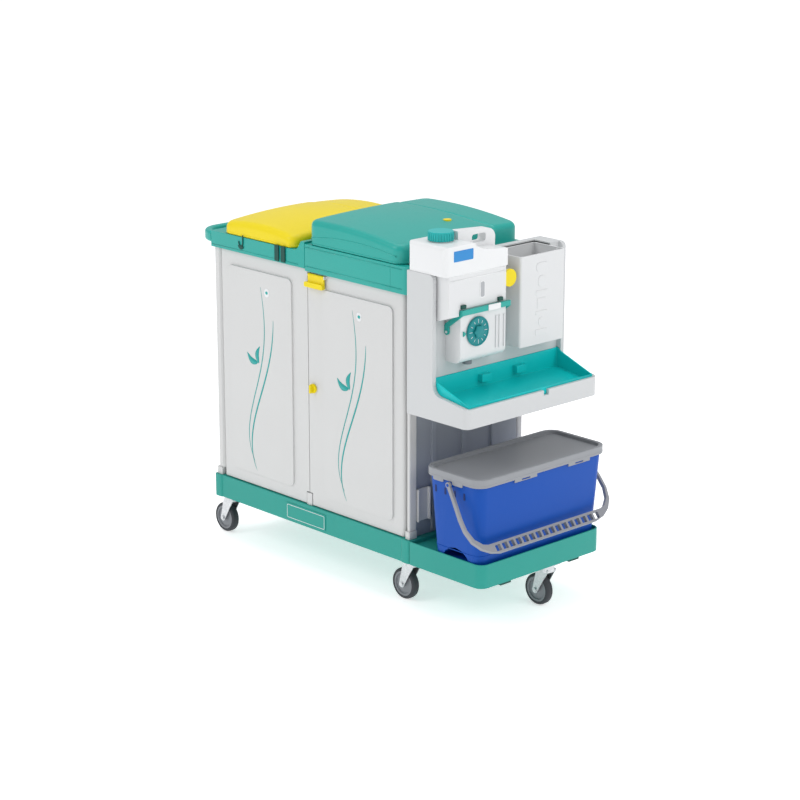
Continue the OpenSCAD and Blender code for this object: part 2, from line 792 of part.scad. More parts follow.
// Body of the dosing unit: a shell that is open at the bottom, cut away over the dial box and
// the lever, with the lug that carries the valve
module dosing_housing() color(white) in_frame() {
    y1 = dosing_y + dosing_w;
    profile = [[console_back, housing_z - 21], [dosing_front, housing_z], [dosing_front, housing_top],
               [console_back, housing_top]];
    difference() {
        side_plate(profile, dosing_y, y1);
        side_plate([[console_back + 4, housing_z - 30], [dosing_front - 4, housing_z - 30],
                    [dosing_front - 4, housing_top - 4], [console_back + 4, housing_top - 4]],
                   dosing_y + 4, y1 - 4);
        block([console_back - 1, dial_box_y - 9, housing_z - 24], [dosing_front + 1, y1 + 1, dial_box_top + 1.5]);
    }
    difference() {
        block([console_back, y1, valve_z - 12], [valve_x - 22, valve_y + 12, valve_z + 12]);
        rod_x(spindle_r + running, console_back + 1, valve_x - 21, valve_y, valve_z);
    }
}

module dial_box() color(white) in_frame() {
    y1 = dial_box_y + dial_box_w;
    profile = concat([[console_back, dial_box_z]], arc(dial_box_front - 22, dial_box_z + 22, 22, 270, 360),
        [[dial_box_front, dial_box_top], [console_back, dial_box_top]]);
    difference() {
        side_plate(profile, dial_box_y, y1);
        side_plate([[console_back + 4, dial_box_z + 5], [dial_box_front - 24, dial_box_z + 5],
                    [dial_box_front - 5, dial_box_z + 24], [dial_box_front - 5, dial_box_top - 4],
                    [console_back + 4, dial_box_top - 4]],
                   dial_box_y + 4, y1 - 4);
        // hole of the outlet
        rod_z(14 + running, dial_box_z - 1, dial_box_z + 6, outlet_x, dial_y);
    }
    // spindle of the dial and pins of the lever
    rod_x(spindle_r, dial_box_front - 5, dial_face + 1.5, dial_y, dial_z);
    rod_y(spindle_r, dial_box_y - 8, dial_box_y + 4, lever_x, lever_z);
    rod_y(spindle_r, y1 - 4, y1 + 8, lever_x, lever_z);
    // ribs beside the dial
    for (y = [y1 - 44, y1 - 30, y1 - 10])
        block([dial_box_front, y, dial_box_z + 26], [dial_box_front + 4, y + 4, dial_z + 34]);
}

module outlet_spout() color("#9aa0a6") in_frame()
    difference() {
        union() {
            rod_z(14, dial_box_z - 16, dial_box_z + 5, outlet_x, dial_y);
            rod_z(16, dial_box_z + 5, dial_box_z + 9, outlet_x, dial_y);
        }
        rod_z(10, dial_box_z - 17, dial_box_z + 10, outlet_x, dial_y);
    }

module pointer() color(teal) in_frame()
    end_plate([[dial_y - dial_r - 14, dial_z - 8], [dial_y - dial_r - 2, dial_z],
               [dial_y - dial_r - 14, dial_z + 8]], dial_box_front, dial_box_front + 5);

module lever_stops() color(dark_green) in_frame()
    for (y = [dial_box_y - 4, dial_box_y + 150])
        block([dosing_front, y, dial_box_top + 4], [dosing_front + 8, y + 18, dial_box_top + 15]);

module dial() color(teal) in_frame()
    difference() {
        rod_x(dial_r, dial_box_front + 1, dial_face, dial_y, dial_z);
        rod_x(spindle_r + running, dial_box_front, dial_face + 1, dial_y, dial_z);
    }

// A U-shaped lever: two arms on the dial box's pins, joined by the bar in front
module lever() color(teal) in_frame() {
    y0 = dial_box_y - 1 - lever_t;
    y1 = dial_box_y + dial_box_w + 1 + lever_t;
    bar_x = dosing_front + 1.5;
    arm = concat(arc(lever_x, lever_z, 9, 180, 360),
        [[lever_x + 9, bar_z - 42], [bar_x + 10, bar_z], [bar_x + 10, bar_z + bar_h], [bar_x, bar_z + bar_h],
         [bar_x - 4, bar_z + 8], [lever_x - 5, bar_z - 34], [lever_x - 9, bar_z - 40]]);
    difference() {
        union() {
            side_plate(arm, y0, y0 + lever_t);
            side_plate(arm, y1 - lever_t, y1);
            block([bar_x, y0, bar_z], [bar_x + 10, y1, bar_z + bar_h]);
        }
        rod_y(spindle_r + running, y0 - 1, y1 + 1, lever_x, lever_z);
    }
}

module valve_knob() color(yellow) in_frame() {
    rod_x(valve_r, valve_x, valve_x + 9, valve_y, valve_z);
    rod_x(9, valve_x - 21, valve_x, valve_y, valve_z);
    rod_x(spindle_r, console_back + 3, valve_x - 21, valve_y, valve_z);
}

// ---------------------------------------------------------------- tank
function tank_outline(inset) =
    let (y0 = tank_y + inset, y1 = tank_y + tank_w - inset, z1 = tank_top - inset,
         split = tank_y + high_w - inset, low = z1 - tank_step, end = low - tank_fall)
    concat([[y0, tank_z + inset], [y1, tank_z + inset]],
        arc(y1 - 12, end - 10, 12, 0, 90), [[split + 34, low]],
        arc(split - 10, z1 - 10, 10, 0, 90), arc(y0 + 12, z1 - 12, 12, 90, 180));

module tank_form(inset)
    intersection() {
        end_plate(tank_outline(inset), tank_x + inset, tank_front - inset);
        slab([tank_x + inset, tank_y + inset, tank_z - 1],
             [tank_front - inset, tank_y + tank_w - inset, tank_top + 1], 12 - inset, 18 - inset);
    }

// A hollow tank with its filling neck and a loop handle
module tank() color(white) in_frame() {
    y1 = tank_y + tank_w;
    split = tank_y + high_w;
    loop_x = tank_handle_x - tank_handle_t / 2;
    loop_y = cap_y + cap_r + 4;
    difference() {
        union() {
            tank_form(0);
            rod_z(neck_r, tank_top - tank_wall, tank_top + neck_h, cap_x, cap_y);
            difference() {
                end_plate(concat([[loop_y, tank_top - 12], [y1 - 6, tank_top - tank_step - tank_fall - 20]],
                          arc(y1 - 34, tank_top - 12, 30, 0, 90), [[loop_y, tank_top + 26]]),
                          loop_x, loop_x + tank_handle_t);
                end_plate(outline(split + 42, tank_top - 19, y1 - 44, tank_top + 7, 8, 8),
                          loop_x - 1, loop_x + tank_handle_t + 1);
            }
        }
        tank_form(tank_wall);
        rod_z(neck_r - 4, tank_top - tank_wall - 1, tank_top + neck_h + 1, cap_x, cap_y);
    }
}

module tank_label() color("#1d6fc4") in_frame()
    end_plate(outline(tank_y + 34, tank_z + 41, tank_y + 114, tank_z + 73, 3, 3), tank_front, tank_front + 0.6);

module tank_cap() color(teal) in_frame()
    difference() {
        union() {
            rod_z(cap_r - 2, tank_top + 3, tank_top + 3 + cap_h, cap_x, cap_y);
            for (i = [0:29])
                translate([cap_x, cap_y, tank_top + 3]) rotate([0, 0, i * 12])
                    translate([cap_r - 4, -2, 0]) cube([4, 4, cap_h - 4]);
        }
        rod_z(neck_r + 1, tank_top + 2, tank_top + cap_h - 1, cap_x, cap_y);
    }

// ---------------------------------------------------------------- bucket
function bucket_outline(inset, r) =
    outline(bucket_x + inset, -bucket_half + inset, bucket_end - inset, bucket_half - inset, r, r);

module bucket_form(inset, low, high)
    hull() {
        translate([0, 0, low]) linear_extrude(0.1)
            polygon(bucket_outline(8 + bucket_taper + inset, 30));
        translate([0, 0, high - 0.1]) linear_extrude(0.1) polygon(bucket_outline(8 + inset, 34));
    }

module bucket() color("#1f55b8") in_frame() {
    difference() {
        union() {
            bucket_form(0, bucket_z, flange_top);
            translate([0, 0, flange_top - 5]) linear_extrude(5) polygon(bucket_outline(4.5, 38));
            both_sides() rod_y(lug_r + 0.5, bucket_half - 14, bucket_half + 0.8, pivot_x, pivot_z);
        }
        bucket_form(bucket_wall, bucket_z + bucket_wall, flange_top + 0.2);
        // arches that lift the bottom off the platform
        side_plate(arc(bucket_mid, bucket_z - 20, 62, 20, 160), -bucket_half, bucket_half);
    }
    // inner skin over the arches
    difference() {
        intersection() {
            bucket_form(bucket_wall - 1, bucket_z + 1, flange_top);
            side_plate(arc(bucket_mid, bucket_z - 20, 65.5, 17, 163), -bucket_half + 20, bucket_half - 20);
        }
        side_plate(arc(bucket_mid, bucket_z - 20, 62, 10, 170), -bucket_half, bucket_half);
    }
    both_sides() rod_y(bail_pin_r, bucket_half, lug_y + lug_w + 1, pivot_x, pivot_z);
}

module bucket_lid() color("#8d8f90") in_frame() {
    z0 = bucket_top - lid_skirt;
    seat_z = flange_top + seat;
    difference() {
        translate([0, 0, z0]) linear_extrude(lid_skirt) polygon(bucket_outline(0, 42));
        translate([0, 0, z0 - 1]) linear_extrude(seat_z - z0 + 1) polygon(bucket_outline(3.5, 39));
        translate([0, 0, seat_z + 4]) linear_extrude(lid_skirt) polygon(bucket_outline(12, 32));
    }
    // tabs with a slot below the skirt
    for (y = [-84, 150])
        difference() {
            block([bucket_end - 3.3, y - 48, z0 - 9], [bucket_end, y + 48, z0]);
            block([bucket_end - 4, y - 18, z0 - 6], [bucket_end + 1, y + 18, z0 - 2]);
        }
}

// The bail lies in one plane: an outline of distance from the pivot and Y, and a lattice grip
module bail() color("#a9a9a6") in_frame() {
    inner = bail_reach - grip_w;
    path_out = [[0, lug_y + lug_w], [50, bail_half - 12], [110, bail_half - 2], [150, bail_half],
                [188, bail_half - 10], [216, bail_half - 34], [234, bail_half - 66], [bail_reach, bail_half - 100]];
    path_in = [[0, lug_y], [50, bail_half - 21], [110, bail_half - 11], [148, bail_half - 9],
               [181, bail_half - 20], [203, bail_half - 44], [inner, bail_half - 62]];
    half = concat(path_out, [[bail_reach, 0], [inner, 0]],
                  [for (i = [len(path_in) - 1:-1:0]) path_in[i]]);
    rows = 8;
    pitch = (bail_half - 80) / rows;
    translate([pivot_x, 0, pivot_z]) rotate([0, bail_angle, 0]) difference() {
        union() {
            both_sides() {
                translate([0, 0, -bail_t / 2]) linear_extrude(bail_t) polygon(half);
                translate([0, lug_y, 0]) rotate([-90, 0, 0]) cylinder(r = lug_r, h = lug_w, $fn = 48);
            }
        }
        both_sides() {
            translate([0, lug_y - 1, 0]) rotate([-90, 0, 0])
                cylinder(r = bail_pin_r + running, h = lug_w + 2, $fn = 48);
            for (i = [0:rows - 1])
                translate([inner + 7, pitch * i + 4, -bail_t]) cube([grip_w - 14, pitch - 8, 2 * bail_t]);
        }
    }
}

// ---------------------------------------------------------------- casters
module caster_mounts() color("silver") in_frame()
    for (at = casters) {
        difference() {
            slab([at[0] - plate_side / 2, at[1] - plate_side / 2, base_z - plate_t],
                 [at[0] + plate_side / 2, at[1] + plate_side / 2, base_z], 6, 6);
            for (x = [-24, 24])
                for (y = [-24, 24])
                    rod_z(3.3, base_z - plate_t - 1, base_z + 1, at[0] + x, at[1] + y);
        }
        rod_z(kingpin_r, cup_z - 5, base_z - plate_t, at[0], at[1]);
        rod_z(kingpin_r + 4, cup_z - 6, cup_z - 0.5, at[0], at[1]);
    }

module fork(at) color("silver") in_frame() {
    x = at[0] - trail;
    z = wheel_r;
    leg = concat(arc(x, z, 11, 180, 350), [[at[0] + 20, cup_z + 4], [at[0] + 20, cup_z + 8], [at[0] - 22, cup_z + 8],
                 [at[0] - 30, cup_z - 8]]);
    translate([0, at[1], 0]) {
        difference() {
            union() {
                rod_z(cup_r, cup_z, cup_top, at[0], 0);
                block([at[0] - 22, -fork_in - fork_t, cup_z], [at[0] + 20, fork_in + fork_t, cup_z + 5]);
                both_sides() side_plate(leg, fork_in, fork_in + fork_t);
            }
            rod_z(kingpin_r + running, cup_z - 1, cup_top + 1, at[0], 0);
            rod_y(axle_r + running, -fork_in - fork_t - 1, fork_in + fork_t + 1, x, z);
        }
        rod_y(axle_r, -fork_in - fork_t - 1, fork_in + fork_t + 1, x, z);
        both_sides() rod_y(axle_r + 3, fork_in + fork_t, fork_in + fork_t + 4, x, z);
    }
}

module wheel_ring(at, points)
    translate([at[0] - trail, at[1], wheel_r]) rotate([90, 0, 0]) rotate_extrude($fn = 96) polygon(points);

module hub(at) color("#8b8d90") in_frame() {
    h = tyre_w / 2 - 2;
    wheel_ring(at, [[axle_r + running, -h - 3], [9, -h - 3], [10, -h + 3], [hub_r - 8, -h + 5], [hub_r - 6, -h],
                    [hub_r, -h], [hub_r, h], [hub_r - 6, h], [hub_r - 8, h - 5], [10, h - 3], [9, h + 3],
                    [axle_r + running, h + 3]]);
}

module tyre(at) color("#4a4d50") in_frame() {
    h = tyre_w / 2;
    r = min(9, wheel_r - hub_r - 1);
    wheel_ring(at, concat([[hub_r + running, -h]], arc(wheel_r - r, -h + r, r, 270, 360),
                          arc(wheel_r - r, h - r, r, 0, 90), [[hub_r + running, h]]));
}

module fork_1() fork(casters[0]);
module fork_2() fork(casters[1]);
module fork_3() fork(casters[2]);
module fork_4() fork(casters[3]);
module fork_5() fork(casters[4]);
module hub_1() hub(casters[0]);
module hub_2() hub(casters[1]);
module hub_3() hub(casters[2]);
module hub_4() hub(casters[3]);
module hub_5() hub(casters[4]);
module tyre_1() tyre(casters[0]);
module tyre_2() tyre(casters[1]);
module tyre_3() tyre(casters[2]);
module tyre_4() tyre(casters[3]);
module tyre_5() tyre(casters[4]);

base_frame();
platform();
platform_tabs();
base_badge();
base_blocks();
corner_posts();
end_panel_left();
end_panel_right();
panel_bracket();
back_panels();
centre_partition();
shelves();
door_pins();
handle_rim();
rim_clips();
rim_right();
rim_corners();
top_tub();
lid_hinges();
console_shell();
console_brackets();
tray();
holder_box();
dosing_housing();
dial_box();
outlet_spout();
pointer();
lever_stops();
door_left();
door_right();
latch();
lock_knob();
lid_yellow();
lid_green();
lid_button();
tank();
tank_label();
tank_cap();
dial();
lever();
valve_knob();
bucket();
bucket_lid();
bail();
caster_mounts();
fork_1();
fork_2();
fork_3();
fork_4();
fork_5();
hub_1();
hub_2();
hub_3();
hub_4();
hub_5();
tyre_1();
tyre_2();
tyre_3();
tyre_4();
tyre_5();
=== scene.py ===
import bmesh
import bpy
import numpy as np
from math import pi, radians
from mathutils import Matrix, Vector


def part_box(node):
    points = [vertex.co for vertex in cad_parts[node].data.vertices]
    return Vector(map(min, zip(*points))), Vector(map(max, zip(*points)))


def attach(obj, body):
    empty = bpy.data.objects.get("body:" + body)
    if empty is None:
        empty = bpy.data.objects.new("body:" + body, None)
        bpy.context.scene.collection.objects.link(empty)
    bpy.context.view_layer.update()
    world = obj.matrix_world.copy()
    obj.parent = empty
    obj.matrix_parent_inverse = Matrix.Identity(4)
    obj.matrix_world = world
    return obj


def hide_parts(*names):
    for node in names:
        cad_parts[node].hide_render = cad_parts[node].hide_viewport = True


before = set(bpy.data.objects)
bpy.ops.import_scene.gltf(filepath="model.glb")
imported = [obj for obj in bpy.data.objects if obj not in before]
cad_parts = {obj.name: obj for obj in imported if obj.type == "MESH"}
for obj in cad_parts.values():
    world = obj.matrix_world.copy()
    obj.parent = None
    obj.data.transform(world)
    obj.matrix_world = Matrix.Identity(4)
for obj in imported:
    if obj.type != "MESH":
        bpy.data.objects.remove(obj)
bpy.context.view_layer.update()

# ---------------------------------------------------------------- studio
# A white floor that runs far past the view, with large soft lights, and the camera at a
# standing person's height, in front of the cart and to the right of its doors.
camera_data = bpy.data.cameras.new("camera")
camera_data.lens = 103.44
camera_data.sensor_width = 36
camera_data.clip_end = 300
camera = bpy.data.objects.new("camera", camera_data)
camera.location = (5.137, -4.828, 2.563)
camera.rotation_euler = (radians(90 - 15.965), 0, radians(46.684))
bpy.context.collection.objects.link(camera)
scene = bpy.context.scene
scene.camera = camera
scene.view_settings.view_transform = "Standard"


def surface(name, points, wrap_u=False, wrap_v=False, caps=True):
    """Joins a grid of points, shape (rows, columns, 3), into a mesh. wrap_u closes the rows
    on themselves, wrap_v the columns; caps fills the first and last row with one face each."""
    rows, columns = points.shape[:2]
    index = np.arange(rows * columns).reshape(rows, columns)
    if wrap_u:
        index = np.vstack([index, index[:1]])
    if wrap_v:
        index = np.hstack([index, index[:, :1]])
    quads = np.stack([index[:-1, :-1], index[:-1, 1:], index[1:, 1:], index[1:, :-1]], -1)
    faces = quads.reshape(-1, 4).tolist()
    if wrap_v and caps and not wrap_u:
        faces += [index[0, :-1][::-1].tolist(), index[-1, :-1].tolist()]
    mesh = bpy.data.meshes.new(name)
    mesh.from_pydata(points.reshape(-1, 3).tolist(), [], faces)
    build = bmesh.new()
    build.from_mesh(mesh)
    bmesh.ops.remove_doubles(build, verts=build.verts, dist=1e-6)
    bmesh.ops.recalc_face_normals(build, faces=build.faces)
    build.to_mesh(mesh)
    build.free()
    mesh.shade_smooth()
    piece = bpy.data.objects.new(name, mesh)
    bpy.context.collection.objects.link(piece)
    return piece


def flat_floor(reach):
    """A level floor: one square of four corners."""
    side = np.array([-reach, reach])
    points = np.zeros((2, 2, 3))
    points[..., 0], points[..., 1] = np.meshgrid(side, side, indexing="ij")
    return surface("floor", points)


floor = flat_floor(90.0)
paper = bpy.data.materials.new("white paper")
paper.use_nodes = True
sheet = paper.node_tree.nodes["Principled BSDF"].inputs
sheet["Base Color"].default_value = (0.9, 0.9, 0.9, 1)
sheet["Roughness"].default_value = 0.9
sheet["Emission Color"].default_value = (1, 1, 1, 1)
sheet["Emission Strength"].default_value = 0.55
floor.data.materials.append(paper)


def light(name, size, power, place, target=(0, 0, 0.6)):
    """A round soft light at place, turned to face target."""
    data = bpy.data.lights.new(name, "AREA")
    data.shape = "DISK"
    data.size = size
    data.energy = power
    lamp = bpy.data.objects.new(name, data)
    lamp.location = place
    aim = np.array(target) - np.array(place)
    flat = np.hypot(aim[0], aim[1])
    lamp.rotation_euler = (pi / 2 + np.arctan2(aim[2], flat), 0, np.arctan2(-aim[0], aim[1]))
    bpy.context.collection.objects.link(lamp)


light("key", 2.6, 62, (-1.5, -4.2, 4.2))
light("side", 3.0, 58, (4.6, 1.0, 3.4))
light("top", 4.0, 70, (-0.4, 0.4, 5.0))
world = bpy.data.worlds.new("studio")
scene.world = world
world.use_nodes = True
sky = world.node_tree.nodes["Background"].inputs
sky["Color"].default_value = (0.96, 0.98, 1.0, 1)
sky["Strength"].default_value = 0.58


# ---------------------------------------------------------------- base and platform
# The cart stands on one hollow moulding with a corner block at each end, and the bucket
# platform is a second moulding bolted to it. Both are teal polypropylene with a fine grain.
class Socket:
    """A node's output that can be used in arithmetic."""

    def __init__(self, finish, link):
        self.finish = finish
        self.link = link

    def maths(self, operation, first, second):
        return self.finish.node("ShaderNodeMath", {"operation": operation}, {0: first, 1: second})

    def __add__(self, other):
        return self.maths("ADD", self, other)

    def __sub__(self, other):
        return self.maths("SUBTRACT", self, other)

    def __rsub__(self, other):
        return self.maths("SUBTRACT", other, self)

    def __mul__(self, other):
        return self.maths("MULTIPLY", self, other)

    __radd__ = __add__
    __rmul__ = __mul__


class Finish:
    """A material and the one method that adds its nodes."""

    def __init__(self, name):
        self.material = bpy.data.materials.new(name)
        self.material.use_nodes = True
        self.nodes = self.material.node_tree.nodes
        self.shader = self.nodes["Principled BSDF"]

    def node(self, kind, settings=None, sockets=None, output=0):
        node = self.nodes.new(kind)
        for key, value in (settings or {}).items():
            if key == "stops":
                ramp = node.color_ramp.elements
                ramp[0].position, ramp[0].color = value[0]
                ramp[1].position, ramp[1].color = value[1]
            else:
                setattr(node, key, value)
        for key, value in (sockets or {}).items():
            if isinstance(value, Socket):
                self.material.node_tree.links.new(value.link, node.inputs[key])
            else:
                node.inputs[key].default_value = value
        return Socket(self, node.outputs[output])

    def feed(self, **inputs):
        for key, value in inputs.items():
            socket = self.shader.inputs[key.replace("_", " ")]
            if isinstance(value, Socket):
                self.material.node_tree.links.new(value.link, socket)
            else:
                socket.default_value = value


def rgba(colour):
    """A colour with full opacity."""
    return (*colour, 1.0)


def moulded(name, colour, rough, grain=0.12, worn=0.06, coat=0.0, spread=0.05, shine=0.3):
    """Injection-moulded plastic: a fine sparked grain as bump, a slow drift of tone and
    roughness over each piece, and faint rubbed patches that are paler and smoother."""
    finish = Finish(name)
    place = finish.node("ShaderNodeTexCoord", output=3)
    sparks = finish.node("ShaderNodeTexNoise", {}, {"Vector": place, "Scale": 620.0, "Detail": 3.0})
    drift = finish.node("ShaderNodeTexNoise", {}, {"Vector": place, "Scale": 4.5, "Detail": 2.0})
    rubbed = finish.node("ShaderNodeTexNoise", {}, {"Vector": place, "Scale": 38.0, "Detail": 6.0,
                                                    "Roughness": 0.7})
    mask = finish.node("ShaderNodeMapRange", {}, {"Value": rubbed, "From Min": 0.56, "From Max": 0.74})
    dark = tuple(max(c * (1 - spread), 0) for c in colour)
    pale = tuple(min(c * (1 + spread) + 0.004, 1) for c in colour)
    tone = finish.node("ShaderNodeMix", {"data_type": "RGBA"},
                       {0: drift, 6: rgba(dark), 7: rgba(pale)}, 2)
    scuffed = tuple(min(c * 0.96 + 0.02, 1) for c in colour)
    colour_out = finish.node("ShaderNodeMix", {"data_type": "RGBA"},
                             {0: mask * worn, 6: tone, 7: rgba(scuffed)}, 2)
    bump = finish.node("ShaderNodeBump", {}, {"Height": sparks, "Strength": grain, "Distance": 0.0004})
    finish.feed(Base_Color=colour_out, Roughness=rough + (drift - 0.5) * 0.1 + mask * 0.08, Normal=bump,
                Coat_Weight=coat, Coat_Roughness=0.15, Specular_IOR_Level=shine)
    return finish.material


def dress(material, *names):
    """Gives CAD nodes a material in place of the one they were packed with."""
    for name in names:
        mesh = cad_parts[name].data
        mesh.materials.clear()
        mesh.materials.append(material)


def soften(width, *names, segments=3):
    """Rounds the sharp edges of CAD nodes, as a mould does: the triangles are joined, flat
    ones are merged into whole faces, and each edge over 30 degrees gets a small round."""
    for name in names:
        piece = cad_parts[name]
        if piece.data.has_custom_normals:
            piece.data.attributes.remove(piece.data.attributes["custom_normal"])
        piece.data.shade_smooth()
        weld = piece.modifiers.new("weld", "WELD")
        weld.merge_threshold = 2e-5
        whole = piece.modifiers.new("whole faces", "DECIMATE")
        whole.decimate_type = "DISSOLVE"
        whole.angle_limit = radians(0.5)
        edge = piece.modifiers.new("edge round", "BEVEL")
        edge.width = width
        edge.segments = segments
        edge.limit_method = "ANGLE"
        edge.angle_limit = radians(30)
        edge.harden_normals = True


def loop(low, high, radius, steps=8):
    """A closed outline of a rectangle with rounded corners, as points in two coordinates."""
    turn = np.linspace(0, pi / 2, steps)
    left, right = low[0] + radius, high[0] - radius
    foot, top = low[1] + radius, high[1] - radius
    parts = []
    for quarter, (x, y) in enumerate([(right, top), (left, top), (left, foot), (right, foot)]):
        angle = turn + quarter * pi / 2
        parts.append(np.stack([x + radius * np.cos(angle), y + radius * np.sin(angle)], -1))
    return np.concatenate(parts)


def stand(points, axes, level):
    """Two-coordinate points placed in space: axes names their two axes, level fills the third."""
    placed = np.full((len(points), 3), level, float)
    placed[:, axes[0]] = points[:, 0]
    placed[:, axes[1]] = points[:, 1]
    return placed


def strip(name, path, normal, section, closed=True):
    """A section carried along a path that lies in one plane: at each point the section's first
    coordinate runs across the path in the plane and its second along the plane's normal."""
    path = np.asarray(path, float)
    ahead = np.roll(path, -1, 0) - np.roll(path, 1, 0)
    if not closed:
        ahead[0], ahead[-1] = path[1] - path[0], path[-1] - path[-2]
    ahead /= np.linalg.norm(ahead, axis=1)[:, None]
    normal = np.asarray(normal, float)
    across = np.cross(ahead, normal)
    section = np.asarray(section, float)
    points = path[:, None] + section[None, :, :1] * across[:, None] + section[None, :, 1:] * normal
    return surface(name, points, wrap_u=closed, wrap_v=True)


def bead(width, height, steps=14):
    """A section like a flattened circle."""
    angle = np.linspace(0, 2 * pi, steps, endpoint=False)
    return np.stack([width * np.cos(angle), height * np.sin(angle)], -1)


def pad(name, low, high, radius, axes, level, out, thickness, edge=0.0006):
    """A plate with rounded corners and a rounded front edge. It stands on level and rises by
    thickness in the direction out (+1 or -1) of the third axis."""
    turn = np.linspace(0, pi / 2, 5)
    rings = [(0.0, 0.0)] + [(edge * (1 - np.cos(a)), thickness - edge * (1 - np.sin(a))) for a in turn]
    low, high = np.array(low), np.array(high)
    points = [stand(loop(low + inset, high - inset, max(radius - inset, 1e-4), 5), axes,
                    level + out * rise) for inset, rise in rings]
    return surface(name, np.stack(points), wrap_v=True)


def fit(piece, material, body):
    """Gives a piece its material and the body it moves with."""
    piece.data.materials.append(material)
    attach(piece, body)
    return piece


teal = moulded("teal plastic", (0.010, 0.365, 0.315), 0.34, shine=0.45)
base_teal = moulded("deeper teal plastic", (0.016, 0.315, 0.262), 0.42)
dark_green = moulded("dark green plastic", (0.004, 0.070, 0.055), 0.45)
dress(base_teal, "base_frame", "platform", "base_badge")
dress(dark_green, "platform_tabs", "rim_clips", "lever_stops")
soften(0.003, "base_frame", "platform")
soften(0.0008, "base_badge", "platform_tabs")
badge_low, badge_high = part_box("base_badge")
white_line = moulded("white line", (0.75, 0.76, 0.77), 0.4, grain=0.0)
border = loop((badge_low.x + 0.006, badge_low.z + 0.006), (badge_high.x - 0.006, badge_high.z - 0.006), 0.004)
fit(strip("badge_border", stand(border, (0, 2), badge_low.y), (0, 1, 0), bead(0.0009, 0.0004)),
    white_line, "chassis")

# ---------------------------------------------------------------- cabinet
# Corner posts, panels, shelves and doors are light grey sheet and mouldings, clipped together.
# The end panel that faces the bucket is a darker, ribbed one.
warm_grey = moulded("light grey panel", (0.63, 0.63, 0.625), 0.42, grain=0.08, spread=0.02)
slate = moulded("slate grey panel", (0.30, 0.325, 0.37), 0.48, grain=0.10)
dress(warm_grey, "base_blocks", "corner_posts", "end_panel_left", "back_panels", "centre_partition",
      "shelves", "door_left", "door_right", "panel_bracket")
dress(slate, "end_panel_right")
soften(0.0015, "base_blocks", "corner_posts", "end_panel_left", "end_panel_right", "back_panels",
       "shelves", "panel_bracket")
soften(0.0046, "door_left", "door_right")


def zinc_plate():
    """Bright zinc plating: spangled in tone, with a light brushed grain along Z."""
    finish = Finish("zinc plated steel")
    place = finish.node("ShaderNodeTexCoord", output=3)
    spangle = finish.node("ShaderNodeTexVoronoi", {}, {"Vector": place, "Scale": 210.0})
    stretch = finish.node("ShaderNodeMapping", {}, {"Vector": place, "Scale": (260.0, 260.0, 24.0)})
    brushed = finish.node("ShaderNodeTexNoise", {}, {"Vector": stretch, "Scale": 4.0, "Detail": 4.0})
    tone = finish.node("ShaderNodeMix", {"data_type": "RGBA"},
                       {0: spangle, 6: (0.50, 0.51, 0.53, 1), 7: (0.68, 0.69, 0.70, 1)}, 2)
    bump = finish.node("ShaderNodeBump", {}, {"Height": brushed, "Strength": 0.12, "Distance": 0.0003})
    finish.feed(Base_Color=tone, Metallic=0.95, Roughness=0.24 + brushed * 0.16, Normal=bump)
    return finish.material


zinc = zinc_plate()
dress(zinc, "door_pins", "lid_hinges", "console_brackets", "caster_mounts")

# ---------------------------------------------------------------- door decoration
# Each door carries a printed film: two thin stems that rise in slow waves, with a pair of
# leaves low on the outer one. The film is laid on the raised panel and pressed flat.
film = moulded("teal film", (0.02, 0.36, 0.34), 0.35, grain=0.0)
film_thickness = 0.0004


def ribbon(name, height, centre_x, half, face_y, wave):
    """A flat band on the door: at each height it runs between centre minus and plus half its
    width, and its ends close to a point. wave(t) gives the sideways place for t from 0 to 1."""
    t = np.linspace(0, 1, len(half))
    z = height[0] + (height[1] - height[0]) * t
    middle = centre_x + wave(t)
    left = np.stack([middle - half, np.full_like(t, face_y), z], -1)
    right = np.stack([middle + half, np.full_like(t, face_y), z], -1)
    back = np.array([0, film_thickness, 0])
    return surface(name, np.stack([left - back, right - back, right, left], 1), wrap_v=True)


def stem(name, door, low, high, places, width, face_y):
    """One stem: a smooth curve through sideways places at even heights, thin at both ends."""
    steps = np.linspace(0, 1, 90)
    half = width * np.sqrt(np.clip(np.sin(pi * steps), 0, 1)) * 0.5 + 0.0001
    curve = np.polynomial.Polynomial.fit(np.linspace(0, 1, len(places)), places, 4)
    fit(ribbon(name, (low, high), 0.0, half, face_y, curve), film, door)


def leaf(name, door, root, tip, width, face_y):
    """One leaf: two arcs between its root and its tip, widest a third of the way along."""
    t = np.linspace(0, 1, 24)[:, None]
    root, tip = np.array(root), np.array(tip)
    along = root + (tip - root) * t
    side = np.array([-(tip - root)[1], (tip - root)[0]]) / np.linalg.norm(tip - root)
    half = width * np.sin(pi * t ** 0.7) ** 0.8 * 0.5 + 0.0001
    bow = 0.18 * np.linalg.norm(tip - root) * np.sin(pi * t)
    edges = [along + side * (bow + half), along + side * (bow - half)]
    flat = [np.stack([e[:, 0], np.full(len(e), face_y), e[:, 1]], -1) for e in edges]
    back = np.array([0, film_thickness, 0])
    points = np.stack([flat[0] - back, flat[1] - back, flat[1], flat[0]], 1)
    fit(surface(name, points, wrap_v=True), film, door)


